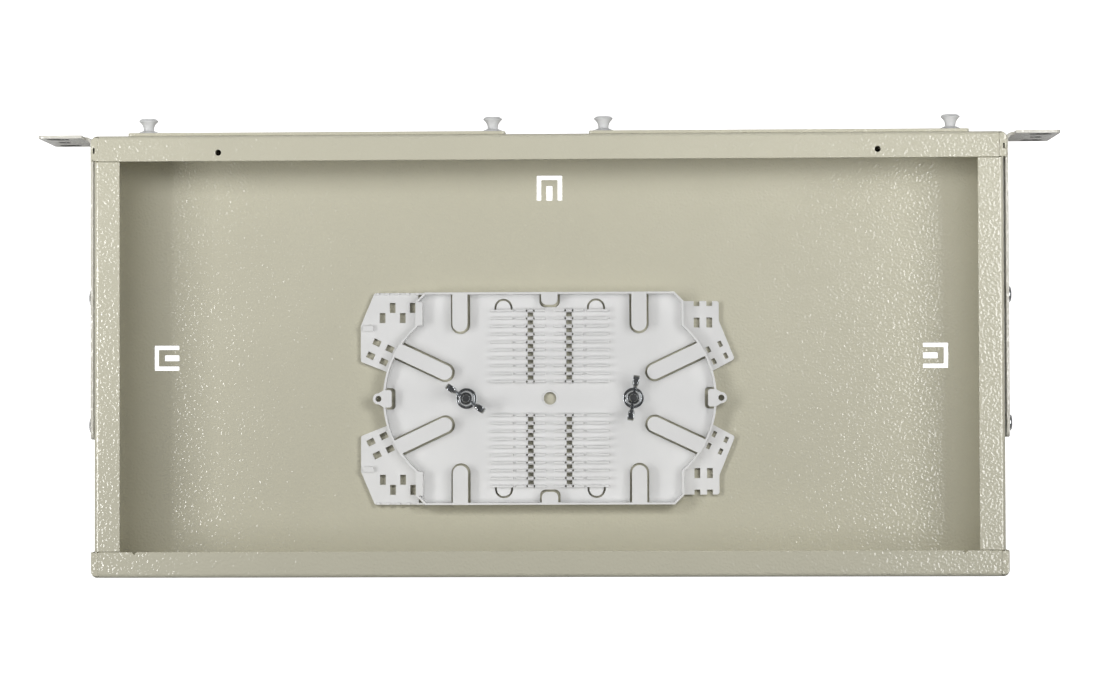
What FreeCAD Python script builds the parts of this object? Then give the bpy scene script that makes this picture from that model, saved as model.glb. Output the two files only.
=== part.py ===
import FreeCAD, Part
import os
from math import atan2, hypot, sin, sqrt, tan

# A rack-mount fibre distribution box with its lid off.
# Millimetres, +Z up. The front faces -Y, and right is +X as seen from the front.
# The origin is the middle of the underside of the folded box.

V = FreeCAD.Vector
ORIGIN = V(0, 0, 0)
X_AXIS = V(1, 0, 0)
Y_AXIS = V(0, 1, 0)
Z_AXIS = V(0, 0, 1)

# Clearances
fit_gap = 0.1             # radial play of a piece that sits still in a hole
running_gap = 0.05        # radial play of a piece that slides or turns in a hole
seam = 0.2                # open joint where two rims butt

# Folded box
box_width = 429.0         # over the outside of the side walls
box_depth = 209.0         # over the outside of the front and rear walls
box_height = 44.0
sheet = 1.2
bend_inner = 0.8
rim_width = 12.2
tab_gap = 0.6             # between a corner tab and the side wall that it covers
tab_bend_inner = 1.8
cap_drop = 0.6            # welded corner cap below the top of the rims
cap_lead = 0.8            # cap behind the front face
cap_inset = 0.3           # cap inside the other edges of its tab
corner_slit = 0.75        # left open in the welds of the front corners
corner_slit_length = 2.6
corner_slit_place = 0.57  # share of the rim's width behind the front face

# Tie lances in the box floor
lance_length = 12.1
lance_width = 12.2
lance_slot = 2.1
lance_tip = 2.9           # bar left across the free end of the tongue
lance_window = 2.9
lance_side_inset = 28.0   # from a side wall to the middle of its lance
lance_front_inset = 22.6

# Lid holes and nicks in the rims
lid_hole_d = 2.8
lid_hole_inset = 8.2      # behind the front face
lid_hole_side_inset = 59.0
nick_width = 2.5
nick_depth = 1.4
nick_side_inset = 19.0

# Rack ears
ear_sheet = 1.5
ear_bend_inner = 2.5
ear_width = 23.5          # beyond the side plate, 482.6 mm over both ears
ear_lead = 0.4            # ear face in front of the front wall
ear_corner = 2.5
rack_hole_pitch = 15.875
rack_slot_inset = 8.75    # from the ear's tip, 465.1 mm between the slots
rack_slot_length = 10.2
rack_slot_width = 6.8
rack_hole_d = 5.5
ear_plate_height = 26.0
ear_plate_length = 144.2
ear_plate_corner = 3.0

# Ear screws and the rivet nuts that take them
ear_screw_d = 4.0
ear_screw_head_d = 8.0
ear_screw_head = 2.4
ear_screw_engagement = 6.0
ear_screw_spacing = 61.0
ear_screw_inset = 6.8     # from the rear end of the side plate
cross_width = 1.1
cross_span = 4.4
cross_depth = 1.3
rivet_flange_d = 9.4
rivet_body_d = 6.0
rivet_bulge_d = 8.6
rivet_bulge = 2.6
rivet_length = 8.0        # inside the wall

# Adapter plates
plate_sheet = 1.5
plate_margin = 2.0        # below the rim and above the floor
plate_side_inset = 15.9
plate_gap = 39.6          # between the two plates
plate_corner = 1.5
port_width = 9.6
port_height = 13.2
port_pitch = 18.0
port_end_zone = 15.5      # kept free at each end of a plate
port_screw_d = 2.4
port_screw_spacing = 18.0
front_window_margin = 3.0 # opening in the front wall round the ports

# Push-pull latches
latch_inset = 6.7         # from the end of a plate
latch_shaft_d = 5.0
latch_sleeve_d = 7.4
latch_flange_d = 10.8
latch_edge = 1.6          # straight edge of the flange
latch_dome = 2.7
latch_barb_d = 8.8
latch_leg = 5.0           # behind the front wall
latch_slit = 0.9
latch_mouth = 0.3         # lead-in of the bush
knob_d = 9.2
knob_reach = 8.4          # in front of the plate
knob_rim = 0.9            # slanted rim of the knob
knob_edge = 0.3
knob_flare = 1.5          # rise of the flare under the rim
knob_dish_d = 5.6
knob_dish = 0.5
latch_tip = 8.0           # shaft behind the front wall

# Cable grommets in the rear wall
cable_entry_d = 18.0
cable_entry_height = 14.0  # middle of the entry above the underside
cable_bore_d = 12.0
cable_lip = 0.8
cable_lip_width = 2.4
cable_side_inset = 44.5

# Splice tray
tray_offset = 20.2        # behind the middle of the box
tray_floor = 1.6
tray_foot = 1.0
tray_foot_d = 9.0
tray_wall = 1.0
tray_rim = 6.2            # wall above the tray floor
tray_half_width = 51.3
tray_corner = 64.7        # half length at the straight corner walls
tray_chamfer = 4.5
tray_corner_run = 11.5
tray_corner_pad = 2.4     # extra thickness of the corner walls at the entry end
tray_bulge = 15.8         # arc ends beyond the corner walls
tray_hole_d = 6.1
tray_hole_step = 0.8

# Retaining tongues of the tray
tongue_thick = 1.3
tongue_gap = 0.95         # window round a tongue
tongue_width = 7.3
tongue_reach = 19.0       # straight tongues, from the outside of the side wall
tongue_place = 43.2
slant_angle = 25.3
slant_tip_lead = 10.3     # round end beyond the stud along the tray
slant_tip_side = 12.7
mid_tab_width = 7.9
mid_tab_reach = 6.2
lug_width = 8.4
lug_inner = 3.2           # tab inside the arc wall
lug_gap = 1.4             # window beyond the end of that tab
lug_window_corner = 1.8
lug_lead = 2.2            # lug hole beyond the arc wall
lug_d = 5.4
lug_hole_d = 2.9

# Splice combs
comb_pitch = 3.816
comb_edge = 8.8           # first fin from the outside of the side wall
comb_middle = 8.0         # free half width in the middle of the tray
comb_stud_gap = 11.7      # from the stud to the end of the comb
fin_thick = 0.9
fin_height = 3.2
fin_long = 10.9
fin_slit = 1.4
fin_short = 4.9
fin_inner = 5.2
finger_gap = 0.8          # hole through the floor at each end of a snap finger
finger_length = 2.7
finger_hook = 0.5
hook_drop = 1.0
comb_arc_d = 7.8
comb_arc_slot = 0.95
comb_arc_inset = 6.3      # from the outer end of the comb
comb_arc_rise = 1.4       # beyond the first fin

# Tie-down wings of the tray
entry_wing_reach = 27.0
entry_wing_slope = 6.7
entry_wing_shoulder = 15.9
entry_wing_end = 33.3
wing_inner_end = 38.6
exit_wing_reach = 17.1
exit_wing_flare = 7.6
exit_wing_shoulder = 9.5
exit_wing_end = 28.1
wing_corner = 1.2
tie_hole_width = 2.8
tie_hole_length = 4.8
tie_pitch = 4.9
tie_first = 1.7
tie_row = 7.2
exit_tie_first = 6.4
exit_tie_pitch = 6.1
exit_tie_row = 10.4
entry_slant_lead = 17.5    # middle of the four slanted tie holes beyond the corner wall
entry_slant_inset = 28.7
entry_slant_pitch = 7.0
entry_slant_length = 3.7
entry_slant_width = 3.0
exit_slant_lead = 16.2
exit_slant_inset = 29.5
exit_slant_pitch = 6.3
exit_slant_length = 1.8
exit_slant_width = 2.9
edge_rib = 1.5
clip_length = 5.1
clip_width = 2.6
clip_height = 2.4

# Tray studs, washers and wing nuts
stud_half_spacing = 40.4
stud_d = 4.0
stud_collar_d = 5.6
stud_collar = 0.6
stud_proud = 0.7          # above the nut's hub
flat_washer_d = 10.0
flat_washer = 1.0
spring_washer_d = 8.2
spring_washer = 1.1
spring_slit = 1.0
nut_base_d = 8.0
nut_top_d = 6.2
nut_hub = 4.0
wing_span = 21.5
wing_height = 10.3
wing_web = 1.5
wing_tip = 2.4
left_nut_turn = 81.5
right_nut_turn = 145.5

# Values worked out from the sizes above
half_width = box_width / 2
half_depth = box_depth / 2
mid_height = box_height / 2
bend_outer = bend_inner + sheet
cap_underside = box_height - bend_outer
stand_off = tab_gap + sheet
front_face = -half_depth
plate_face = front_face - plate_sheet
plate_length = half_width - plate_side_inset - plate_gap / 2
plate_middle = (half_width - plate_side_inset + plate_gap / 2) / 2
plate_height = box_height - 2 * plate_margin
port_count = int((plate_length - 2 * port_end_zone) / port_pitch)
latch_places = (plate_middle - plate_length / 2 + latch_inset, plate_middle + plate_length / 2 - latch_inset)
ear_face = front_face - ear_lead
ear_screw_rear = ear_face + ear_plate_length - ear_screw_inset
ear_screw_places = (ear_screw_rear - ear_screw_spacing, ear_screw_rear)
latch_hole_d = latch_sleeve_d + 2 * fit_gap
tray_underside = sheet + tray_foot
tray_deck = tray_underside + tray_floor
tray_top = tray_deck + tray_rim
washer_seat = tray_deck + flat_washer
nut_seat = washer_seat + spring_washer
tray_side_end = tray_corner - tray_chamfer
tray_arc_start = tray_half_width - tray_chamfer - tray_corner_run
tray_arc_radius = (tray_arc_start ** 2 + tray_bulge ** 2) / (2 * tray_bulge)
tray_arc_middle = tray_corner + tray_bulge - tray_arc_radius
comb_outer = tray_half_width - comb_edge
comb_end = stud_half_spacing - comb_stud_gap
fin_count = int((comb_outer - comb_middle) / comb_pitch) + 1

SIDES = (("left", -1), ("right", 1))


def rounded_wire(corners):
    """Closed wire in the XY plane through (x, y, radius) corners, with an arc at each rounded one."""
    turns = []
    for index, (x, y, radius) in enumerate(corners):
        here = V(x, y, 0)
        before = V(*corners[index - 1][:2], 0) - here
        after = V(*corners[(index + 1) % len(corners)][:2], 0) - here
        half_angle = before.getAngle(after) / 2
        before.normalize()
        after.normalize()
        if radius == 0:
            turns.append((here, None, here))
            continue
        inward = before + after
        inward.normalize()
        setback = radius / tan(half_angle)
        depth = radius / sin(half_angle) - radius
        turns.append((here + before * setback, here + inward * depth, here + after * setback))
    edges = []
    for index, (start, middle, end) in enumerate(turns):
        last = turns[index - 1][2]
        if last.distanceToPoint(start) > 1e-6:
            edges.append(Part.LineSegment(last, start).toShape())
        if middle is not None:
            edges.append(Part.Arc(start, middle, end).toShape())
    return Part.Wire(edges)


def block(x0, y0, z0, x1, y1, z1):
    """Box between two opposite corners."""
    return Part.makeBox(x1 - x0, y1 - y0, z1 - z0, V(x0, y0, z0))


def upright(wire, z0, z1):
    """Prism of a wire in the XY plane between two heights."""
    solid = Part.Face(wire).extrude(V(0, 0, z1 - z0))
    solid.translate(V(0, 0, z0))
    return solid


def along_x(wire, x0, x1):
    """Prism along X of a section drawn as (y, z)."""
    solid = Part.Face(wire).extrude(V(0, 0, x1 - x0))
    solid.rotate(ORIGIN, V(1, 1, 1), 120)
    solid.translate(V(x0, 0, 0))
    return solid


def along_y(wire, y0, y1):
    """Prism along Y of a section drawn as (x, z)."""
    solid = Part.Face(wire).extrude(V(0, 0, y0 - y1))
    solid.rotate(ORIGIN, X_AXIS, 90)
    solid.translate(V(0, y0, 0))
    return solid


def turned(corners):
    """Solid of revolution about Z of a section drawn as (r, z, corner radius)."""
    wire = rounded_wire(corners)
    wire.rotate(ORIGIN, X_AXIS, 90)
    return Part.Face(wire).revolve(ORIGIN, Z_AXIS, 360)


def rod(diameter, start, end):
    """Cylinder between two points."""
    axis = end - start
    return Part.makeCylinder(diameter / 2, axis.Length, start, axis)


def mirrored(shape, across):
    """Copy of a shape mirrored through the origin across an axis."""
    return shape.mirror(ORIGIN, across)


def both(shape, across):
    """A shape and its mirror image."""
    return [shape, mirrored(shape, across)]


def four(shape):
    """A shape in all four quarters of its plan."""
    return both(shape, X_AXIS) + [mirrored(half, Y_AXIS) for half in both(shape, X_AXIS)]


def placed(shape, x, y, z):
    """Copy of a shape moved to a place."""
    copy = shape.copy()
    copy.translate(V(x, y, z))
    return copy


def facing_front(shape):
    """Turns a shape built up along +Z so that it points to -Y."""
    shape.rotate(ORIGIN, X_AXIS, 90)
    return shape


def polyline(points):
    """Straight edges through a row of points."""
    return [Part.LineSegment(start, end).toShape() for start, end in zip(points, points[1:])]


# Folded box


def front_rear_channel():
    """Floor, front wall, rear wall and their rims, folded as one channel."""
    outer = half_depth
    inner = half_depth - sheet
    lip = half_depth - rim_width
    under = box_height - sheet
    section = rounded_wire([
        (-lip, box_height, 0), (-outer, box_height, bend_outer), (-outer, 0, bend_outer),
        (outer, 0, bend_outer), (outer, box_height, bend_outer), (lip, box_height, 0),
        (lip, under, 0), (inner, under, bend_inner), (inner, sheet, bend_inner),
        (-inner, sheet, bend_inner), (-inner, under, bend_inner), (-lip, under, 0),
    ])
    end = half_width - bend_outer
    return along_x(section, -end, end)


def right_side_wall():
    """Side wall and rim folded up from the floor; the rim butts on the front and rear rims."""
    inner = half_width - sheet
    lip = half_width - rim_width
    under = box_height - sheet
    floor_end = half_width - bend_outer
    section = rounded_wire([
        (floor_end, 0, 0), (half_width, 0, bend_outer), (half_width, box_height, bend_outer),
        (lip, box_height, 0), (lip, under, 0), (inner, under, bend_inner),
        (inner, sheet, bend_inner), (floor_end, sheet, 0),
    ])
    end = half_depth - bend_outer
    wall = along_y(section, -end, end)
    butt = half_depth - rim_width - seam
    clear = block(lip - seam, butt, cap_underside - seam, half_width + sheet, half_depth, box_height + sheet)
    rivet_hole_d = rivet_body_d + 2 * fit_gap
    cutters = both(clear, Y_AXIS)
    for y in ear_screw_places:
        cutters.append(rod(rivet_hole_d, V(inner - sheet, y, mid_height), V(half_width + sheet, y, mid_height)))
    return wall.cut(Part.makeCompound(cutters))


def corner_slot():
    """Cutter for the short slit that the front corner's weld leaves open between the tab and the side wall."""
    middle = front_face + rim_width * corner_slit_place
    side = half_width + tab_gap - running_gap
    return block(side - corner_slit, middle - corner_slit_length / 2, cap_underside - seam,
                 side, middle + corner_slit_length / 2, box_height)


def right_corner_tabs():
    """Tabs that wrap round the side wall from the front and rear walls, each with a welded cap at the top."""
    start = half_width - bend_outer
    back = front_face + rim_width
    tab_in = half_width + tab_gap
    tab_out = tab_in + sheet
    tab_bend = tab_bend_inner + sheet
    tab = upright(rounded_wire([
        (start, front_face, 0), (tab_out, front_face, tab_bend), (tab_out, back, sheet / 3),
        (tab_in, back, 0), (tab_in, front_face + sheet, tab_bend_inner), (start, front_face + sheet, 0),
    ]), bend_outer, cap_underside)
    cap_front = front_face + cap_lead
    cap_out = tab_out - cap_inset
    cap_back = back - cap_inset
    cap = upright(rounded_wire([
        (start, cap_front, 0), (cap_out, cap_front, tab_bend - cap_lead), (cap_out, cap_back, sheet),
        (start, cap_back, 0),
    ]), cap_underside, box_height - cap_drop)
    corner = tab.fuse(cap).removeSplitter()
    return Part.makeCompound([corner.cut(corner_slot()), mirrored(corner, Y_AXIS)])


def tie_lance(x, y, turn):
    """Cutter for one tie lance: a C-shaped slot round a tongue that has a window."""
    half = lance_width / 2
    deep = 2 * sheet
    slot = block(-half, 0, -deep, half, lance_length, deep)
    tongue_half = half - lance_slot
    tongue = block(-tongue_half, lance_slot, -2 * deep, tongue_half, lance_length + deep, 2 * deep)
    window_start = lance_slot + lance_tip
    window = block(-lance_window / 2, window_start, -deep, lance_window / 2, lance_length, deep)
    lance = slot.cut(tongue).fuse(window)
    lance.translate(V(0, -lance_length / 2, 0))
    lance.rotate(ORIGIN, Z_AXIS, turn)
    return placed(lance, x, y, 0)


def rim_cutters():
    """Lid screw holes in the front rim and nicks in the inner edge of the rear rim."""
    hole_x = half_width - lid_hole_side_inset
    hole_y = front_face + lid_hole_inset
    top = box_height + sheet
    hole = rod(lid_hole_d, V(hole_x, hole_y, top - 3 * sheet), V(hole_x, hole_y, top))
    nick_x = half_width - nick_side_inset
    lip = half_depth - rim_width
    nick = upright(rounded_wire([
        (nick_x - nick_width / 2, lip - seam, 0), (nick_x + nick_width / 2, lip - seam, 0),
        (nick_x, lip + nick_depth, 0),
    ]), top - 3 * sheet, top)
    return both(hole, X_AXIS) + both(nick, X_AXIS)


def wall_cutters():
    """Openings in the front and rear walls: port windows, latch holes and cable entries."""
    cutters = []
    window_half = (port_count - 1) * port_pitch / 2 + port_width / 2 + front_window_margin
    window_rise = port_screw_spacing / 2 + port_screw_d / 2 + front_window_margin
    before = front_face - sheet
    behind = front_face + 2 * sheet
    window = block(plate_middle - window_half, before, mid_height - window_rise,
                   plate_middle + window_half, behind, mid_height + window_rise)
    cutters += both(window, X_AXIS)
    for x in latch_places:
        cutters += both(rod(latch_hole_d, V(x, before, mid_height), V(x, behind, mid_height)), X_AXIS)
    entry_x = half_width - cable_side_inset
    entry = rod(cable_entry_d, V(entry_x, half_depth - 2 * sheet, cable_entry_height),
                V(entry_x, half_depth + sheet, cable_entry_height))
    cutters += both(entry, X_AXIS)
    return cutters


def channel_panels():
    """Floor, walls and rims of the finished channel, parted along its bends so that each panel is nearly flat."""
    lance_x = half_width - lance_side_inset
    cutters = [
        tie_lance(lance_x, 0, 90), tie_lance(-lance_x, 0, -90),
        tie_lance(0, front_face + lance_front_inset, 0),
    ]
    cutters += rim_cutters() + wall_cutters()
    channel = front_rear_channel().cut(Part.makeCompound(cutters)).removeSplitter()
    bend_line = half_depth - bend_outer
    before = front_face - sheet
    floor_zone = block(-half_width, -bend_line, -sheet, half_width, bend_line, bend_outer)
    wall_zone = block(-half_width, before, -sheet, half_width, -bend_line, cap_underside)
    rim_zone = block(-half_width, before, cap_underside, half_width, 0, box_height + sheet)
    panels = {"box_body": channel.common(floor_zone)}
    for name, zone in (("wall", wall_zone), ("rim", rim_zone)):
        panels["front_" + name] = channel.common(zone)
        panels["rear_" + name] = channel.common(mirrored(zone, Y_AXIS))
    return panels


# Rack ears and their fasteners


def right_rack_ear():
    """Bracket folded to an L: a slotted ear in front and a side plate along the box."""
    inner = half_width + stand_off
    outer = inner + ear_sheet
    tip = outer + ear_width
    back = ear_face + ear_sheet
    end = ear_face + ear_plate_length
    bend = ear_bend_inner + ear_sheet
    fold = rounded_wire([
        (inner, ear_face, bend), (tip, ear_face, 0), (tip, back, 0),
        (outer, back, ear_bend_inner), (outer, end, 0), (inner, end, 0),
    ])
    ear_start = inner + bend
    plate_low = mid_height - ear_plate_height / 2
    plate_high = mid_height + ear_plate_height / 2
    ear_outline = along_y(rounded_wire([
        (ear_start, 0, 0), (tip, 0, ear_corner), (tip, box_height, ear_corner), (ear_start, box_height, 0),
    ]), ear_face, back)
    plate_outline = along_x(rounded_wire([
        (ear_face, plate_low, 0), (end, plate_low, ear_plate_corner),
        (end, plate_high, ear_plate_corner), (ear_face, plate_high, 0),
    ]), inner, ear_start)
    bracket = upright(fold, plate_low, plate_high).common(plate_outline)
    ear = bracket.fuse(ear_outline).removeSplitter()
    slot_x = tip - rack_slot_inset
    flat = (rack_slot_length - rack_slot_width) / 2
    before = ear_face - ear_sheet
    behind = back + ear_sheet
    cutters = [rod(rack_hole_d, V(slot_x, before, mid_height), V(slot_x, behind, mid_height))]
    for z in (mid_height - rack_hole_pitch, mid_height + rack_hole_pitch):
        cutters.append(block(slot_x - flat, before, z - rack_slot_width / 2,
                             slot_x + flat, behind, z + rack_slot_width / 2))
        for x in (slot_x - flat, slot_x + flat):
            cutters.append(rod(rack_slot_width, V(x, before, z), V(x, behind, z)))
    for y in ear_screw_places:
        cutters.append(rod(ear_screw_d + 4 * fit_gap, V(inner - ear_sheet, y, mid_height),
                           V(outer + ear_sheet, y, mid_height)))
    slots = cutters[0].multiFuse(cutters[1:])
    return ear.cut(slots)


def ear_screw():
    """Pan-head screw with a cross recess, head upwards on the XY plane."""
    shank = stand_off + ear_sheet + sheet + ear_screw_engagement
    head = ear_screw_head_d / 2
    radius = ear_screw_d / 2
    screw = turned([
        (0, -shank, 0), (radius - sheet / 3, -shank, 0), (radius, -shank + sheet / 2, 0), (radius, 0, 0),
        (head, 0, 0), (head, ear_screw_head, ear_screw_head / 2), (0, ear_screw_head, 0),
    ])
    floor = ear_screw_head - cross_depth
    bar = block(-cross_span / 2, -cross_width / 2, floor, cross_span / 2, cross_width / 2, 2 * ear_screw_head)
    turned_bar = bar.copy()
    turned_bar.rotate(ORIGIN, Z_AXIS, 90)
    return screw.cut(bar.fuse(turned_bar))


def rivet_nut():
    """Flanged blind nut, set, with its flange on the XY plane and its body below the wall."""
    bore = ear_screw_d / 2 + running_gap
    body = rivet_body_d / 2
    bulge = rivet_bulge_d / 2
    return turned([
        (bore, stand_off, 0), (rivet_flange_d / 2, stand_off, 0), (rivet_flange_d / 2, 0, 0), (body, 0, 0),
        (body, -sheet - fit_gap, 0), (bulge, -sheet - fit_gap, 0),
        (body, -sheet - rivet_bulge, 0),
        (body, -sheet - rivet_length, 0), (bore, -sheet - rivet_length, 0),
    ])


def on_right_wall(shape, x):
    """Copies of a fastener built along +Z, pointing out of the right wall at each ear screw."""
    shape.rotate(ORIGIN, Y_AXIS, 90)
    return Part.makeCompound([placed(shape, x, y, mid_height) for y in ear_screw_places])


# Adapter plates and latches


def right_adapter_plate():
    """Flat plate with a row of adapter ports, each with two screw holes, and two latch holes."""
    x0 = plate_middle - plate_length / 2
    x1 = plate_middle + plate_length / 2
    z0 = plate_margin
    z1 = plate_margin + plate_height
    outline = [(x0, z0, plate_corner), (x1, z0, plate_corner), (x1, z1, plate_corner), (x0, z1, plate_corner)]
    plate = along_y(rounded_wire(outline), plate_face, front_face)
    before = plate_face - plate_sheet
    behind = front_face + plate_sheet
    cutters = []
    for index in range(port_count):
        x = plate_middle + (index - (port_count - 1) / 2) * port_pitch
        cutters.append(block(x - port_width / 2, before, mid_height - port_height / 2,
                             x + port_width / 2, behind, mid_height + port_height / 2))
        for z in (mid_height - port_screw_spacing / 2, mid_height + port_screw_spacing / 2):
            cutters.append(rod(port_screw_d, V(x, before, z), V(x, behind, z)))
    for x in latch_places:
        cutters.append(rod(latch_hole_d, V(x, before, mid_height), V(x, behind, mid_height)))
    return plate.cut(Part.makeCompound(cutters))


def latch_grommet():
    """Split nylon bush, dome to the front, barbed legs behind the wall; XY plane is the plate's face."""
    bore = latch_shaft_d / 2 + running_gap
    sleeve = latch_sleeve_d / 2
    wall_back = -plate_sheet - sheet - fit_gap
    leg_end = wall_back - latch_leg
    flange = latch_flange_d / 2
    bush = turned([
        (bore, latch_dome, 0), (bore + latch_mouth, latch_dome, 0), (flange, latch_edge, 0),
        (flange, 0, 0), (sleeve, 0, 0), (sleeve, wall_back, 0), (latch_barb_d / 2, wall_back, 0),
        (latch_barb_d / 2, wall_back - latch_leg / 4, 0), (bore + 2 * latch_mouth, leg_end, 0),
        (bore, leg_end, 0),
    ])
    half_slit = latch_slit / 2
    slit = block(-latch_barb_d, -half_slit, leg_end - latch_leg, latch_barb_d, half_slit, -plate_sheet)
    crossing = slit.copy()
    crossing.rotate(ORIGIN, Z_AXIS, 90)
    return bush.cut(slit.fuse(crossing))


def latch_plunger():
    """Trumpet-shaped knob on a shaft that spreads the legs of the grommet."""
    shaft = latch_shaft_d / 2
    knob = knob_d / 2
    tip = -plate_sheet - sheet - latch_tip
    rim = knob_reach - knob_rim
    under = rim - knob_edge
    spread = knob - shaft
    flare_radius = 0.95 * hypot(spread, knob_flare) / tan(atan2(spread, knob_flare) / 2)
    return turned([
        (0, tip, 0), (shaft - 2 * latch_mouth, tip, 0), (shaft, tip + 4 * latch_mouth, 0),
        (shaft, under - knob_flare, flare_radius), (knob, under, 0), (knob, rim, 0),
        (knob - knob_rim, knob_reach, 0), (knob_dish_d / 2, knob_reach, 0), (0, knob_reach - knob_dish, 0),
    ])


def right_cable_grommet():
    """Rubber ring that grips the edge of a cable entry in the rear wall."""
    bore = cable_bore_d / 2
    groove = cable_entry_d / 2 - fit_gap
    lip = cable_entry_d / 2 + cable_lip_width
    ring = turned([
        (bore, -cable_lip - sheet, cable_lip / 3), (lip, -cable_lip - sheet, cable_lip / 3), (lip, -sheet, 0),
        (groove, -sheet, 0), (groove, 0, 0), (lip, 0, 0), (lip, cable_lip, cable_lip / 2),
        (bore, cable_lip, cable_lip / 3),
    ])
    ring.rotate(ORIGIN, X_AXIS, -90)
    return placed(ring, half_width - cable_side_inset, half_depth, cable_entry_height)


# Splice tray, built about its own middle in plan


def tray_wire(inset):
    """Outline of the tray without its wings: straight sides, slanted corners and arc ends."""
    side = tray_half_width - inset
    corner = tray_corner - inset
    cut = tray_chamfer - inset * (2 - sqrt(2))
    arc_start = sqrt((tray_arc_radius - inset) ** 2 - (corner - tray_arc_middle) ** 2)
    bow = tray_corner + tray_bulge - inset
    edges = []
    for sign in (1, -1):
        lower = [V(sign * (cut - corner), -sign * side, 0), V(sign * (corner - cut), -sign * side, 0),
                 V(sign * corner, sign * (cut - side), 0), V(sign * corner, -sign * arc_start, 0)]
        upper = [V(sign * corner, sign * arc_start, 0), V(sign * corner, sign * (side - cut), 0),
                 V(sign * (corner - cut), sign * side, 0)]
        edges += polyline(lower)
        edges.append(Part.Arc(lower[-1], V(sign * bow, 0, 0), upper[0]).toShape())
        edges += polyline(upper)
    return Part.Wire(edges)


def arc_end(side):
    """Distance along the tray of the outer arc wall at a distance from the tray's long axis."""
    return tray_arc_middle + sqrt(tray_arc_radius ** 2 - side ** 2)


def entry_wing():
    """Larger tie-down wing, with an edge rib that has notches and a small clip."""
    side = tray_half_width
    inner_side = side - wing_inner_end
    far = tray_corner + entry_wing_reach
    near = far - entry_wing_slope
    start = tray_corner - tray_wall
    shoulder = side - entry_wing_shoulder
    slab = upright(rounded_wire([
        (start, side, 0), (near, side, wing_corner), (far, shoulder, wing_corner),
        (far, side - entry_wing_end, wing_corner), (arc_end(inner_side) - tray_wall / 2, inner_side, 0),
        (start, inner_side, 0),
    ]), tray_underside, tray_deck)
    rib = block(tray_side_end, side - tray_wall, tray_underside,
                near - wing_corner, side, tray_deck + edge_rib)
    rows = (side - tie_row, side - tie_row - tie_pitch)
    cutters = []
    for index in range(4):
        x = tray_corner + tie_first + index * tie_pitch
        y = rows[index % 2]
        cutters.append(through_slot(x, y, tie_hole_width, tie_hole_length))
        cutters.append(block(x - tie_hole_width / 2, side - 2 * tray_wall, tray_deck,
                             x + tie_hole_width / 2, side + tray_wall, tray_top))
    middle = V(tray_corner + entry_slant_lead, side - entry_slant_inset, 0)
    cutters += slant_holes(middle, entry_slant_pitch, entry_slant_length, entry_slant_width)
    clip_end = far - wing_corner
    clip_y = shoulder - clip_width / 2
    clip = block(clip_end - clip_length, clip_y - clip_width / 2, tray_underside,
                 clip_end, clip_y + clip_width / 2, tray_deck + clip_height)
    return slab.multiFuse([rib, clip]).cut(Part.makeCompound(cutters))


def exit_wing():
    """Smaller tie-down wing, flared, with open notches in its edge."""
    side = tray_half_width - tray_chamfer
    inner_side = tray_half_width - wing_inner_end
    near = tray_corner + exit_wing_reach
    start = tray_corner - tray_wall
    slab = upright(rounded_wire([
        (start, side, 0), (near, side, wing_corner), (near, side - exit_wing_shoulder, 3 * wing_corner),
        (near + exit_wing_flare, side - exit_wing_end, wing_corner),
        (arc_end(inner_side) - tray_wall / 2, inner_side, 0), (start, inner_side, 0),
    ]), tray_underside, tray_deck)
    cutters = []
    for index in range(2):
        x = tray_corner + exit_tie_first + index * exit_tie_pitch
        cutters.append(through_slot(x, side, tie_hole_width, tie_hole_length))
        cutters.append(through_slot(x, side - exit_tie_row, tie_hole_width, tie_hole_length))
    middle = V(tray_corner + exit_slant_lead, tray_half_width - exit_slant_inset, 0)
    cutters += slant_holes(middle, exit_slant_pitch, exit_slant_length, exit_slant_width)
    return slab.cut(Part.makeCompound(cutters))


def through_slot(x, y, width, length):
    """Cutter for a rectangular hole through the tray's floor."""
    return block(x - width / 2, y - length / 2, tray_underside - tray_floor,
                 x + width / 2, y + length / 2, tray_deck + tray_floor)


def slant_holes(middle, pitch, length, width):
    """Four tie holes in a square that is turned in line with the slanted tongues."""
    holes = []
    for along in (-pitch / 2, pitch / 2):
        for across in (-pitch / 2, pitch / 2):
            hole = through_slot(along, across, length, width)
            hole.rotate(ORIGIN, Z_AXIS, slant_angle)
            holes.append(placed(hole, middle.x, middle.y, 0))
    return holes


def tongue_wire(half, run):
    """Bar in plan along +X from a round end about the origin."""
    edges = [Part.Arc(V(0, half, 0), V(-half, 0, 0), V(0, -half, 0)).toShape()]
    edges += polyline([V(0, -half, 0), V(run, -half, 0), V(run, half, 0), V(0, half, 0)])
    return Part.Wire(edges)


def tongue_bars(half, z0, z1):
    """Straight and slanted bars of one quarter of the tray, round end inwards."""
    straight = upright(tongue_wire(half, tongue_reach), z0, z1)
    straight.rotate(ORIGIN, Z_AXIS, 90)
    straight_end = tray_half_width - tongue_reach + tongue_width / 2
    slanted = upright(tongue_wire(half, tray_corner), z0, z1)
    slanted.rotate(ORIGIN, Z_AXIS, slant_angle)
    slant_x = stud_half_spacing + slant_tip_lead
    return [placed(straight, tongue_place, straight_end, 0), placed(slanted, slant_x, slant_tip_side, 0)]


def middle_tab(margin, z0, z1):
    """Short tab in the middle of a side wall, or with a margin its window."""
    half = mid_tab_width / 2 + margin
    end = tray_half_width - mid_tab_reach - margin
    return upright(rounded_wire([
        (-half, tray_half_width, 0), (-half, end, mid_tab_width / 3), (half, end, mid_tab_width / 3),
        (half, tray_half_width, 0),
    ]), z0, z1)


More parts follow.
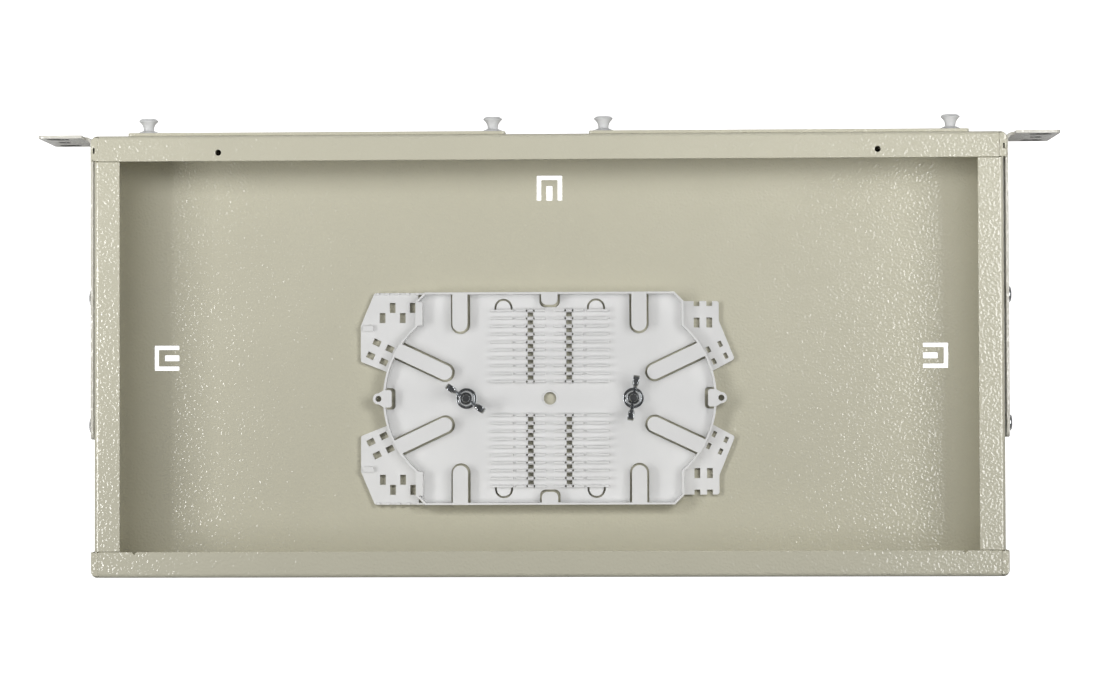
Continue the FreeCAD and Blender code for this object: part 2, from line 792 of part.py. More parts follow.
def end_lug():
    """Tab across the arc wall with a tall eye outside it."""
    low = tray_top - tongue_thick
    bow = tray_corner + tray_bulge
    start = bow - tray_wall - lug_inner
    half = lug_width / 2
    lug_x = bow + lug_lead
    waist = bow - tray_wall / 2
    tab = upright(rounded_wire([
        (start, -half, lug_inner / 3), (waist, -half, 0), (lug_x, -lug_d / 2, 0),
        (lug_x, lug_d / 2, 0), (waist, half, 0), (start, half, lug_inner / 3),
    ]), low, tray_top)
    eye = rod(lug_d, V(lug_x, 0, tray_underside), V(lug_x, 0, tray_top))
    hole = rod(lug_hole_d, V(lug_x, 0, tray_underside - tray_floor), V(lug_x, 0, tray_top + tray_floor))
    return tab.fuse(eye).cut(hole)


def lug_window():
    """Cutter for the floor window inside an end lug."""
    bow = tray_corner + tray_bulge
    start = bow - tray_wall - lug_inner - lug_gap
    half = lug_width / 2 + tongue_gap
    return upright(rounded_wire([
        (start, -half, lug_window_corner), (bow, -half, 0), (bow, half, 0), (start, half, lug_window_corner),
    ]), tray_underside - tray_floor, tray_deck + tray_floor)


def comb_fins():
    """Fins and snap fingers of the comb in one quarter of the tray."""
    low = tray_deck - tray_floor / 2
    high = tray_deck + fin_height
    half = fin_thick / 2
    hook = half + finger_hook
    section = rounded_wire([
        (-half, low, 0), (half, low, 0), (half, high - 2 * hook_drop, 0), (hook, high - hook_drop, 0),
        (half / 2, high, 0), (-half / 2, high, 0), (-hook, high - hook_drop, 0),
        (-half, high - 2 * hook_drop, 0),
    ])
    pieces = []
    for index in range(fin_count):
        y = comb_outer - index * comb_pitch
        x = comb_end
        for length, gap in ((fin_long, fin_slit), (fin_short, finger_gap)):
            pieces.append(block(x - length, y - half, low, x, y + half, high))
            x -= length + gap
        pieces.append(placed(along_x(section, x - finger_length, x), 0, y, 0))
        x -= finger_length + finger_gap
        pieces.append(block(x - fin_inner, y - half, low, x, y + half, high))
    return pieces


def comb_windows():
    """Cutters for the floor windows round the snap fingers and the arc slot at the comb's outer end."""
    x = comb_end - fin_long - fin_slit - fin_short - finger_gap - finger_length / 2
    width = comb_pitch - fin_thick - finger_gap
    end = (finger_length + finger_gap) / 2
    cutters = []
    for index in range(fin_count):
        y = comb_outer - index * comb_pitch
        cutters += [through_slot(x - end, y, finger_gap, fin_thick), through_slot(x + end, y, finger_gap, fin_thick)]
    for index in range(fin_count - 1):
        y = comb_outer - (index + 0.5) * comb_pitch
        cutters.append(through_slot(x, y, finger_length, width))
    arc_x = comb_end - comb_arc_inset
    outer = comb_arc_d / 2 + comb_arc_slot / 2
    inner = comb_arc_d / 2 - comb_arc_slot / 2
    low = tray_underside - tray_floor
    high = tray_deck + tray_floor
    ring = upright(tongue_wire(outer, comb_arc_rise), low, high)
    ring = ring.cut(upright(tongue_wire(inner, 2 * comb_arc_rise), low - tray_floor, high + tray_floor))
    ring.rotate(ORIGIN, Z_AXIS, -90)
    cutters.append(placed(ring, arc_x, comb_outer + comb_arc_rise, 0))
    return cutters


def splice_tray():
    """The moulded tray with its walls, tongues, combs, wings, lugs and feet."""
    inside = upright(tray_wire(tray_wall), tray_underside - tray_floor, tray_top + tray_rim)
    within = upright(tray_wire(tray_wall / 2), tray_underside, tray_top)
    outer = upright(tray_wire(0), tray_underside, tray_top)
    wings = both(entry_wing(), Y_AXIS)
    wings += [mirrored(wing, X_AXIS) for wing in both(exit_wing(), Y_AXIS)]
    deck = upright(tray_wire(0), tray_underside, tray_deck).multiFuse(wings)

    openings = []
    below = tray_underside - tray_floor
    above = tray_deck + tray_floor
    for bar in tongue_bars(tongue_width / 2 + tongue_gap, below, above):
        openings += four(bar)
    openings += both(middle_tab(tongue_gap, below, above), Y_AXIS)
    openings += both(lug_window(), X_AXIS)
    for cutter in comb_windows():
        openings += four(cutter)
    deck = deck.cut(Part.makeCompound([opening.common(inside) for opening in openings]))

    raised = [outer.cut(inside)]
    for bar in tongue_bars(tongue_width / 2, tray_top - tongue_thick, tray_top):
        raised += four(bar.common(within))
    raised += both(middle_tab(0, tray_top - tongue_thick, tray_top).common(within), Y_AXIS)
    raised += both(end_lug(), X_AXIS)
    pad = block(tray_corner - tray_wall - tray_corner_pad, tray_arc_start, tray_deck - tray_floor / 2,
                tray_corner, tray_half_width - tray_chamfer, tray_top)
    raised += both(pad.common(within), Y_AXIS)
    for piece in comb_fins():
        raised += four(piece)
    foot_x = tray_corner - tray_foot_d
    foot_y = tray_half_width - tray_foot_d
    raised += four(rod(tray_foot_d, V(foot_x, foot_y, sheet), V(foot_x, foot_y, tray_underside)))
    stud_foot = rod(tray_foot_d, V(stud_half_spacing, 0, sheet), V(stud_half_spacing, 0, tray_underside))
    raised += both(stud_foot, X_AXIS)
    tray = deck.multiFuse(raised)

    collar_hole_d = stud_collar_d + 2 * fit_gap
    stud_hole = rod(stud_d + 4 * fit_gap, V(stud_half_spacing, 0, 0), V(stud_half_spacing, 0, tray_top))
    collar_hole = rod(collar_hole_d, V(stud_half_spacing, 0, 0), V(stud_half_spacing, 0, tray_underside))
    cutters = both(stud_hole.fuse(collar_hole), X_AXIS)
    centre_hole = rod(tray_hole_d, V(0, 0, 0), V(0, 0, tray_top))
    step = rod(tray_hole_d + 2 * tray_hole_step, V(0, 0, tray_deck - tray_floor / 3), V(0, 0, tray_top))
    cutters.append(centre_hole.fuse(step))
    tray = tray.cut(Part.makeCompound(cutters)).removeSplitter()
    return placed(tray, 0, tray_offset, 0)


# Stud, washers and wing nut, built about the stud's axis


def tray_stud():
    """Threaded stud welded to the box floor."""
    radius = stud_d / 2
    top = nut_seat + nut_hub + stud_proud
    return turned([
        (0, sheet, 0), (stud_collar_d / 2, sheet, 0), (stud_collar_d / 2, sheet + stud_collar, 0),
        (radius, sheet + stud_collar, 0), (radius, top - stud_proud / 2, 0),
        (radius - stud_proud / 2, top, 0), (0, top, 0),
    ])


def flat_washer_ring():
    """Plain washer on the tray floor."""
    bore = stud_d / 2 + 2 * fit_gap
    return turned([
        (bore, tray_deck, 0), (flat_washer_d / 2, tray_deck, 0),
        (flat_washer_d / 2, washer_seat, 0), (bore, washer_seat, 0),
    ])


def spring_washer_ring():
    """Split spring washer, pressed flat under the nut."""
    bore = stud_d / 2 + fit_gap
    ring = turned([
        (bore, washer_seat, 0), (spring_washer_d / 2, washer_seat, 0),
        (spring_washer_d / 2, nut_seat, 0), (bore, nut_seat, 0),
    ])
    half_slit = spring_slit / 2
    slit = block(0, -half_slit, washer_seat - flat_washer, spring_washer_d, half_slit, nut_seat + nut_hub)
    return ring.cut(slit)


def wing_nut(turn):
    """Cast wing nut: a tapered hub with two webs that end in thicker wings."""
    reach = wing_span / 2
    low_tip = wing_height - 2 * wing_tip
    root = nut_top_d / 4
    hub = turned([(0, 0, 0), (nut_base_d / 2, 0, 0), (nut_top_d / 2, nut_hub, wing_web / 4), (0, nut_hub, 0)])
    web = along_y(rounded_wire([
        (root, nut_hub / 6, 0), (nut_base_d / 2, nut_hub / 6, wing_web), (reach, low_tip, wing_tip / 2),
        (reach, wing_height, wing_tip), (reach - 2 * wing_tip, wing_height, wing_tip),
        (nut_top_d / 2, nut_hub * 0.9, wing_web), (root, nut_hub * 0.9, 0),
    ]), -wing_web / 2, wing_web / 2)
    tip_start = reach - 1.8 * wing_tip
    tip_base = low_tip + wing_tip / 2
    tip = along_y(rounded_wire([
        (tip_start, tip_base, wing_tip / 2), (reach, tip_base, wing_tip / 2),
        (reach, wing_height, wing_tip * 0.8), (tip_start, wing_height, wing_tip * 0.8),
    ]), -wing_tip / 2, wing_tip / 2)
    nut = hub.multiFuse(both(web, X_AXIS) + both(tip, X_AXIS))
    nut = nut.cut(rod(stud_d + 2 * running_gap, V(0, 0, -nut_hub), V(0, 0, 2 * wing_height))).removeSplitter()
    nut.rotate(ORIGIN, Z_AXIS, turn)
    return placed(nut, 0, 0, nut_seat)


def build():
    """All the pieces by name, each in its place."""
    pieces = channel_panels()
    pieces["splice_tray"] = splice_tray()
    ear_seat = half_width + stand_off + ear_sheet
    right_pieces = {
        "side_wall": right_side_wall(),
        "corner_tabs": right_corner_tabs(),
        "rack_ear": right_rack_ear(),
        "ear_screws": on_right_wall(ear_screw(), ear_seat),
        "rivet_nuts": on_right_wall(rivet_nut(), half_width),
        "adapter_plate": right_adapter_plate(),
        "cable_grommet": right_cable_grommet(),
    }
    for name, x in zip(("inner", "outer"), latch_places):
        grommet = facing_front(latch_grommet())
        plunger = facing_front(latch_plunger())
        right_pieces[name + "_latch_grommet"] = placed(grommet, x, plate_face, mid_height)
        right_pieces[name + "_latch_plunger"] = placed(plunger, x, plate_face, mid_height)
    for name, shape in right_pieces.items():
        pieces["right_" + name] = shape
        pieces["left_" + name] = mirrored(shape, X_AXIS)
    nut_turns = {"left": left_nut_turn, "right": right_nut_turn}
    for side, sign in SIDES:
        x = sign * stud_half_spacing
        stack = {"tray_stud": tray_stud(), "flat_washer": flat_washer_ring(),
                 "spring_washer": spring_washer_ring(), "wing_nut": wing_nut(nut_turns[side])}
        for name, shape in stack.items():
            pieces[side + "_" + name] = placed(shape, x, tray_offset, 0)
    return pieces


os.makedirs("parts", exist_ok=True)
for node, shape in build().items():
    shape.exportStep("parts/" + node + ".step")
    print(node, len(shape.Solids), shape.isValid(), round(shape.Volume, 2))
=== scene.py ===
"""Looks of a rack-mount fibre distribution box with its lid off: finishes, rounded edges, threads and a studio."""
import math

import bmesh
import bpy
from bpy.props import FloatProperty, FloatVectorProperty, IntProperty, PointerProperty
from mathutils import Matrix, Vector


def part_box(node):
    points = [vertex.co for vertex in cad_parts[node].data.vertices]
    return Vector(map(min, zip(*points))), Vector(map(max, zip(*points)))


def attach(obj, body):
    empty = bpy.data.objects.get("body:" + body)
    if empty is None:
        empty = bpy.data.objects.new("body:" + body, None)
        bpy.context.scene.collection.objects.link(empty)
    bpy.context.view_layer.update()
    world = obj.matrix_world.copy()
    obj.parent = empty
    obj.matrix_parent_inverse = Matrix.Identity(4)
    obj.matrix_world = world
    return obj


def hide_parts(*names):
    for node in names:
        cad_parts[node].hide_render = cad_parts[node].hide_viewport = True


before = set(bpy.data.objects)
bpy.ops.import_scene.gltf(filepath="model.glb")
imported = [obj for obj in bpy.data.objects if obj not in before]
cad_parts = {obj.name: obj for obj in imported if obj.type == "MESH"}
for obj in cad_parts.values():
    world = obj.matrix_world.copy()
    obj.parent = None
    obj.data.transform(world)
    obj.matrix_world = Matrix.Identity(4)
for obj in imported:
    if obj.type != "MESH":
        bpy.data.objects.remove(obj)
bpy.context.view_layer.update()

bl_info = {
    "name": "Fibre Distribution Box Looks",
    "version": (1, 0, 0),
    "blender": (4, 5, 0),
    "location": "3D View > Sidebar > Fibre Box",
    "description": "Finishes, rounded edges, threads and a studio for a rack-mount fibre distribution box",
    "category": "Object",
}

# Names and sizes, in metres where they are lengths of the part

SIDES = ("left", "right")
LATCHES = ("inner", "outer")
SHEET_PANELS = (
    "box_body", "front_wall", "rear_wall", "front_rim", "rear_rim",
    "left_side_wall", "right_side_wall", "left_corner_tabs", "right_corner_tabs",
)
LID_HOLES = {"left": (-0.1555, -0.0963), "right": (0.1555, -0.0963)}
RIM_UNDERSIDE = 0.0428
EAR_HOLES_ACROSS = 0.23255
EAR_HOLES = (
    {"Height": 0.006125, "Half Length": 0.0017, "Radius": 0.0034},
    {"Height": 0.022, "Half Length": 0.0, "Radius": 0.00275},
    {"Height": 0.037875, "Half Length": 0.0017, "Radius": 0.0034},
)
STUD_CREST = 0.002
STUD_COLLAR_HEIGHT = 0.0006
STUD_CHAMFER = 0.00035
STUD_RINGS_PER_TURN = 10
INSERT_HEIGHT = 0.006
INSERT_HALF_FLAT = 0.0025
INSERT_BORE = 0.00145
INSERT_BORE_DEPTH = 0.0045
INSERT_THREAD = 0.4  # depth of the thread as a share of its pitch
INSERT_RINGS_PER_TURN = 8
FLANK_SLOPE = 1.25  # with the cut, leaves a tenth of a flank flat in the root and on the crest
FLANK_CUT = 0.125
TURNED_SEGMENTS = 48
WING_HUB = 0.0042
WING_FULL = 1.4  # radius from which the wings have their full swell, as a multiple of the hub's
MERGE_DISTANCE = 1e-6
FLAT_ANGLE = math.radians(0.5)
SHARP_ANGLE = math.radians(35)
EDGE_SEGMENTS = 2
PEEL_CELL_SHARE = 0.35
FLOOR_HALF = 3.0
FLOOR_DROP = 0.0001
WHITE = (1.0, 1.0, 1.0, 1.0)
SKY_TOP = 0.95  # height of a direction, from 0 at the horizon to 1 overhead, as in the next two
CEILING_START = 0.94
SIDES_START = 0.78
CEILING_MIRRORED = 0.06
SENSOR_WIDTH = 36.0
PHOTO_WIDTH = 1094
PHOTO_FOCAL_PIXELS = 2950.4


# Settings that a user would change


def length(name, description, default):
    """A length property in metres."""
    return FloatProperty(name=name, description=description, default=default, min=0.0, unit="LENGTH", precision=6)


def factor(name, description, default):
    """A property from 0 to 1."""
    return FloatProperty(name=name, description=description, default=default, min=0.0, max=1.0, subtype="FACTOR")


def colour(name, description, default):
    """A linear colour property."""
    return FloatVectorProperty(name=name, description=description, default=default, size=3, min=0.0, max=1.0,
                               subtype="COLOR")


def place(name, description, default):
    """A place in metres."""
    return FloatVectorProperty(name=name, description=description, default=default, size=3, subtype="TRANSLATION",
                               unit="LENGTH")


def plan(name, description, default):
    """A pair of lengths in metres, from left to right and from front to rear."""
    return FloatVectorProperty(name=name, description=description, default=default, size=2, subtype="XYZ",
                               unit="LENGTH")


def power(name, description, default):
    """A lamp's power in watts."""
    return FloatProperty(name=name, description=description, default=default, min=0.0, unit="POWER")


class FIBREBOX_PG_enamel(bpy.types.PropertyGroup):
    """Stove enamel of the box, the plates and the ears."""

    box_colour: colour("Box colour", "Pebble grey of the box and the adapter plates", (0.62, 0.597, 0.475))
    ear_colour: colour("Ear colour", "Grey of the rack ears", (0.76, 0.74, 0.665))
    # Painted shade: a dark colour given to the walls of the ears' punched holes, where shade falls.
    hole_shade_colour: colour("Painted hole shade", "Painted shade on the walls of the ears' punched holes", (0.09, 0.09, 0.08))
    roughness: factor("Roughness", "Roughness of the enamel between its ripples", 0.08)
    peel_size: length("Peel size", "Width of one ripple of the orange peel", 0.0013)
    peel_depth: length("Peel depth", "Height of the orange peel from valley to crest", 0.00024)
    edge: length("Edge radius", "Rounding of the enamelled sheet edges", 0.00028)


class FIBREBOX_PG_mouldings(bpy.types.PropertyGroup):
    """Plastic of the splice tray, nylon of the latches and rubber of the cable grommets."""

    tray_colour: colour("Tray colour", "White of the splice tray", (0.83, 0.83, 0.825))
    tray_roughness: factor("Tray roughness", "Roughness of the tray's faces", 0.42)
    tray_depth: factor("Tray translucence", "How much light the tray's plastic spreads under its skin", 0.7)
    tray_edge: length("Tray edge radius", "Rounding of the tray's moulded edges", 0.00014)
    nylon_colour: colour("Nylon colour", "Milky white of the latches", (0.78, 0.785, 0.785))
    nylon_edge: length("Nylon edge radius", "Rounding of the latches' edges", 0.00016)
    rubber_colour: colour("Rubber colour", "Black of the cable grommets", (0.022, 0.022, 0.024))


class FIBREBOX_PG_steel(bpy.types.PropertyGroup):
    """Zinc-plated studs, washers, nuts and screws, and the dark inserts for the lid's screws."""

    zinc_colour: colour("Zinc colour", "Bright zinc plating", (0.60, 0.62, 0.64))
    insert_colour: colour("Insert colour", "Dark steel of the inserts for the lid's screws", (0.40, 0.39, 0.34))
    roughness: factor("Roughness", "Mean roughness of the plating", 0.15)
    edge: length("Edge radius", "Rounding of the washers' and screws' edges", 0.00012)
    thread_pitch: length("Thread pitch", "Pitch of the studs' thread", 0.0007)
    thread_depth: length("Thread depth", "Depth of the studs' thread", 0.0004)
    insert_pitch: length("Insert pitch", "Pitch of the thread for the lid's screws", 0.0005)
    rivet_end: length("Rivet nut end", "Distance from the middle of the box to the ends of the rivet nuts", 0.2066)
    casting_voxel: length("Casting detail", "Voxel size that blends the wing nut's webs into its hub", 0.00013)
    wing_swell: length("Wing swell", "Thickness that the casting adds to each face of a wing", 0.00035)
    casting_smooth: IntProperty(name="Casting smoothing", description="Rounds of smoothing on a wing nut's edges",
                                default=4, min=0)


class FIBREBOX_PG_stage(bpy.types.PropertyGroup):
    """Camera, lamps and floor."""

    camera_place: place("Camera place", "Where the camera stands above the box", (-0.03646, 0.02683, 1.43168))
    camera_turn: FloatVectorProperty(name="Camera turn", description="Turn of the camera, which looks down",
                                     default=(math.radians(1.199), math.radians(1.521), math.radians(179.805)),
                                     size=3, subtype="EULER", unit="ROTATION")
    left_place: place("Left lamp place", "Middle of the left lamp", (-0.517, -0.041, 0.704))
    left_size: plan("Left lamp size", "Width and depth of the left lamp", (0.293, 0.599))
    left_power: power("Left lamp power", "Power of the left lamp", 2.22)
    right_place: place("Right lamp place", "Middle of the right lamp", (0.598, 0.065, 0.630))
    right_size: plan("Right lamp size", "Width and depth of the right lamp", (0.315, 0.473))
    right_power: power("Right lamp power", "Power of the right lamp", 2.88)
    front_left_place: place("Left fill place", "Middle of the left fill lamp", (-0.168, -0.097, 0.379))
    front_left_size: plan("Left fill size", "Width and depth of the left fill lamp", (0.197, 0.120))
    front_left_power: power("Left fill power", "Power of the left fill lamp", 0.64)
    front_right_place: place("Right fill place", "Middle of the right fill lamp", (0.274, -0.157, 0.415))
    front_right_size: plan("Right fill size", "Width and depth of the right fill lamp", (0.200, 0.102))
    front_right_power: power("Right fill power", "Power of the right fill lamp", 0.75)
    tray_place: place("Tray lamp place", "Middle of the tray's own soft lamp", (0.0, 0.02, 0.8))
    tray_size: plan("Tray lamp size", "Width and depth of the tray's own soft lamp", (0.8, 0.8))
    tray_power: power("Tray lamp power", "Power of the tray's own soft lamp", 3.44)
    sky_low: FloatProperty(name="Low sky", description="Light from the room near the horizon", default=0.06, min=0.0)
    sky_high: FloatProperty(name="High sky", description="Light from the room overhead", default=0.02, min=0.0)
    sky_mirrored: FloatProperty(name="Mirrored room", description="Light of the room's sides in glossy faces",
                                default=0.1, min=0.0)
    floor_glow: FloatProperty(name="Floor white", description="How white the lit floor looks", default=1.0, min=0.0)


# Small helpers


def nodes_named(*patterns):
    """CAD nodes by name for each side of the box."""
    return [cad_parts[side + "_" + pattern] for side in SIDES for pattern in patterns]


def put(tree, made, inputs):
    """Sets inputs of a node to values or links them to outputs."""
    for name, value in inputs.items():
        if isinstance(value, bpy.types.NodeSocket):
            tree.links.new(value, made.inputs[name])
        else:
            made.inputs[name].default_value = value


def node(tree, kind, inputs=None, **settings):
    """New node with its settings and its inputs."""
    made = tree.nodes.new(kind)
    for name, value in settings.items():
        setattr(made, name, value)
    put(tree, made, inputs or {})
    return made


def maths(tree, operation, *values):
    """Output of a math node for numbers or outputs."""
    return node(tree, "ShaderNodeMath", dict(enumerate(values)), operation=operation).outputs[0]


def vector_maths(tree, operation, *values):
    """Output of a vector math node for vectors or outputs."""
    return node(tree, "ShaderNodeVectorMath", dict(enumerate(values)), operation=operation).outputs[0]


def vector_length(tree, vector):
    """Length of a vector."""
    return node(tree, "ShaderNodeVectorMath", {0: vector}, operation="LENGTH").outputs["Value"]


def shade(rgb, amount):
    """A colour made darker or lighter, with full alpha."""
    return (*(min(1.0, channel * amount) for channel in rgb), 1.0)


def linked(name, data):
    """New object in the scene."""
    made = bpy.data.objects.new(name, data)
    bpy.context.scene.collection.objects.link(made)
    return made


# Effects that finishes are made of


def effect(name, inputs, output):
    """Shader node group with named value inputs and one value output; returns it, its inputs and the place shaded."""
    tree = bpy.data.node_groups.new(name, "ShaderNodeTree")
    for label, default in inputs:
        socket = tree.interface.new_socket(name=label, in_out="INPUT", socket_type="NodeSocketFloat")
        socket.default_value = default
    tree.interface.new_socket(name=output, in_out="OUTPUT", socket_type="NodeSocketFloat")
    entry = tree.nodes.new("NodeGroupInput")
    point = node(tree, "ShaderNodeTexCoord").outputs["Object"]
    return tree, entry.outputs, point


def finish_effect(tree, output, value):
    """Links the value that a node group puts out."""
    end = tree.nodes.new("NodeGroupOutput")
    tree.links.new(value, end.inputs[output])
    return tree


def per_size(tree, size):
    """Texture scale for a feature of a size in metres."""
    return maths(tree, "DIVIDE", 1.0, size)


def peel_effect():
    """Orange peel of sprayed enamel: soft ripples less a share of rounded cells."""
    tree, given, point = effect("Orange peel", [("Size", 0.002)], "Height")
    scale = per_size(tree, given["Size"])
    ripples = node(tree, "ShaderNodeTexNoise", {"Vector": point, "Scale": scale, "Detail": 1.5, "Roughness": 0.4})
    cells = node(tree, "ShaderNodeTexVoronoi", {"Vector": point, "Scale": scale, "Smoothness": 0.6},
                 feature="SMOOTH_F1")
    share = maths(tree, "MULTIPLY", cells.outputs["Distance"], PEEL_CELL_SHARE)
    return finish_effect(tree, "Height", maths(tree, "SUBTRACT", ripples.outputs[0], share))


def mottle_effect():
    """Slow change over a surface, from 0 to 1."""
    tree, given, point = effect("Mottle", [("Size", 0.02)], "Amount")
    scale = per_size(tree, given["Size"])
    cloud = node(tree, "ShaderNodeTexNoise", {"Vector": point, "Scale": scale, "Detail": 4.0, "Roughness": 0.55})
    spread = node(tree, "ShaderNodeMapRange", {"Value": cloud.outputs[0], "From Min": 0.3, "From Max": 0.7})
    return finish_effect(tree, "Amount", spread.outputs[0])


def speck_effect():
    """Sparse round specks of dust, as a mask."""
    tree, given, point = effect("Dust specks", [("Spacing", 0.03), ("Size", 0.0003)], "Mask")
    scale = per_size(tree, given["Spacing"])
    cells = node(tree, "ShaderNodeTexVoronoi", {"Vector": point, "Scale": scale, "Randomness": 1.0})
    reach = maths(tree, "MULTIPLY", given["Size"], scale)
    return finish_effect(tree, "Mask", maths(tree, "LESS_THAN", cells.outputs["Distance"], reach))


def grain_effect():
    """Fine even grain of a moulded, cast or plated surface."""
    tree, given, point = effect("Fine grain", [("Size", 0.0005)], "Height")
    scale = per_size(tree, given["Size"])
    grain = node(tree, "ShaderNodeTexNoise", {"Vector": point, "Scale": scale, "Detail": 3.0, "Roughness": 0.6})
    return finish_effect(tree, "Height", grain.outputs[0])


def wall_effect():
    """Walls and rim of a slot punched level through both ears, as a mask for painted shade."""
    tree, given, point = effect("Punched walls", [("Across", 0.2), ("Height", 0.02), ("Half Length", 0.002),
                                                  ("Radius", 0.003), ("Rim", 0.0002)], "Mask")
    parts = node(tree, "ShaderNodeSeparateXYZ", {0: point}).outputs
    side = maths(tree, "ABSOLUTE", parts["X"])
    along = maths(tree, "ABSOLUTE", maths(tree, "SUBTRACT", side, given["Across"]))
    past_end = maths(tree, "MAXIMUM", maths(tree, "SUBTRACT", along, given["Half Length"]), 0.0)
    rise = maths(tree, "SUBTRACT", parts["Z"], given["Height"])
    arm = node(tree, "ShaderNodeCombineXYZ", {"X": past_end, "Z": rise}).outputs[0]
    limit = maths(tree, "ADD", given["Radius"], given["Rim"])
    return finish_effect(tree, "Mask", maths(tree, "LESS_THAN", vector_length(tree, arm), limit))


def placed_effect(tree, maker, **values):
    """An effect's group in a material, with its own values. The group is made once."""
    groups = {peel_effect: "Orange peel", mottle_effect: "Mottle", speck_effect: "Dust specks",
              grain_effect: "Fine grain", wall_effect: "Punched walls"}
    group = bpy.data.node_groups.get(groups[maker]) or maker()
    return node(tree, "ShaderNodeGroup", values, node_tree=group).outputs[0]


# Finishes


def finish_tree(name):
    """Material with a Principled shader; returns it, its tree and its shader."""
    material = bpy.data.materials.new(name)
    material.use_nodes = True
    tree = material.node_tree
    return material, tree, tree.nodes["Principled BSDF"]


def mixed(tree, amount, first, second):
    """Colour between two colours or outputs."""
    return node(tree, "ShaderNodeMix", {0: amount, 6: first, 7: second}, data_type="RGBA").outputs[2]


def clouded(tree, base, size, dark, light):
    """Slow change over a surface, and a colour that it takes from a darker to a lighter shade."""
    mottle = placed_effect(tree, mottle_effect, Size=size)
    return mottle, mixed(tree, mottle, shade(base, dark), shade(base, light))


def ranged(tree, amount, low, high):
    """Value between two limits."""
    return node(tree, "ShaderNodeMapRange", {"Value": amount, "To Min": low, "To Max": high}).outputs[0]


def under_skin(weight, depth):
    """Shader inputs for light that spreads under the skin, to the same depth in all colours."""
    return {"Subsurface Weight": weight, "Subsurface Radius": (1.0, 1.0, 1.0), "Subsurface Scale": depth}


def link_bump(tree, shader, height, depth):
    """Feeds a height in metres to the shader's normal."""
    bump = node(tree, "ShaderNodeBump", {"Height": height, "Distance": depth, "Strength": 1.0})
    tree.links.new(bump.outputs[0], shader.inputs["Normal"])


def add_grain(tree, shader, size, depth):
    """Gives a finish fine grain."""
    link_bump(tree, shader, placed_effect(tree, grain_effect, Size=size), depth)


def enamel(name, base, settings, holes=()):
    """Glossy stove enamel with orange peel, a few specks of dust and painted shade on the walls of punched holes."""
    material, tree, shader = finish_tree(name)
    mottle, tone = clouded(tree, base, size=0.045, dark=0.985, light=1.015)
    specks = placed_effect(tree, speck_effect, Spacing=0.06, Size=0.00035)
    tone = mixed(tree, specks, tone, shade(base, amount=0.45))
    # Painted shade: the walls of the ears' punched holes take a dark colour in place of their shade.
    for hole in holes:
        walls = placed_effect(tree, wall_effect, Across=EAR_HOLES_ACROSS, Rim=settings.edge, **hole)
        tone = mixed(tree, walls, tone, shade(settings.hole_shade_colour, amount=1.0))
    rough = ranged(tree, mottle, low=settings.roughness - 0.03, high=settings.roughness + 0.03)
    put(tree, shader, {"Base Color": tone, "Roughness": rough, "Specular IOR Level": 1.0, "IOR": 1.6})
    link_bump(tree, shader, placed_effect(tree, peel_effect, Size=settings.peel_size), settings.peel_depth)
    return material


def tray_plastic(settings):
    """White moulded plastic with a faint flow pattern and fine grain."""
    material, tree, shader = finish_tree("white_tray_plastic")
    mottle, tone = clouded(tree, settings.tray_colour, size=0.03, dark=0.975, light=1.02)
    specks = placed_effect(tree, speck_effect, Spacing=0.05, Size=0.0002)
    tone = mixed(tree, specks, tone, shade(settings.tray_colour, amount=0.7))
    rough = ranged(tree, mottle, low=settings.tray_roughness - 0.05, high=settings.tray_roughness + 0.05)
    put(tree, shader, {"Base Color": tone, "Roughness": rough, **under_skin(settings.tray_depth, depth=0.0004)})
    add_grain(tree, shader, size=0.0006, depth=0.00002)
    return material


def natural_nylon(settings):
    """Milky, slightly translucent nylon."""
    material, tree, shader = finish_tree("natural_nylon")
    mottle, tone = clouded(tree, settings.nylon_colour, size=0.004, dark=0.95, light=1.03)
    rough = ranged(tree, mottle, low=0.32, high=0.45)
    put(tree, shader, {"Base Color": tone, "Roughness": rough, **under_skin(weight=0.5, depth=0.0015)})
    add_grain(tree, shader, size=0.0004, depth=0.00001)
    return material


def plated_steel(name, base, settings, grain_size, grain_depth):
    """Plated steel with clouded gloss."""
    material, tree, shader = finish_tree(name)
    mottle, tone = clouded(tree, base, size=0.0035, dark=0.85, light=1.1)
    rough = ranged(tree, mottle, low=settings.roughness - 0.08, high=settings.roughness + 0.1)
    put(tree, shader, {"Base Color": tone, "Roughness": rough, "Metallic": 1.0})
    add_grain(tree, shader, grain_size, grain_depth)
    return material


def black_rubber(settings):
    """Matt rubber with a dusty grain."""
    material, tree, shader = finish_tree("black_rubber")
    mottle, tone = clouded(tree, settings.rubber_colour, size=0.006, dark=0.8, light=1.5)
    put(tree, shader, {"Base Color": tone, "Roughness": ranged(tree, mottle, low=0.55, high=0.7)})
    add_grain(tree, shader, size=0.0005, depth=0.00004)
    return material


# Shapes


def dress(piece, material):
    """Gives a piece one material."""
    piece.data.materials.clear()
    piece.data.materials.append(material)


def join_faces(piece):
    """Joins the split vertices of a piece with a modifier."""
    weld = piece.modifiers.new("Join faces", "WELD")
    weld.merge_threshold = MERGE_DISTANCE


def round_edges(piece, radius, whole_faces=True):
    """Rounds the sharp edges of a piece with modifiers and shades its flat faces flat."""
    join_faces(piece)
    if whole_faces:
        planar = piece.modifiers.new("Flat faces", "DECIMATE")
        planar.decimate_type = "DISSOLVE"
        planar.angle_limit = FLAT_ANGLE
    bevel = piece.modifiers.new("Rounded edges", "BEVEL")
    bevel.width = radius
    bevel.segments = EDGE_SEGMENTS
    bevel.limit_method = "ANGLE"
    bevel.angle_limit = SHARP_ANGLE
    bevel.use_clamp_overlap = False
    normals = piece.modifiers.new("Even shading", "WEIGHTED_NORMAL")
    normals.keep_sharp = True


def dress_rounded(pieces, material, radius):
    """Gives pieces one material and rounds their edges."""
    for piece in pieces:
        dress(piece, material)
        round_edges(piece, radius)


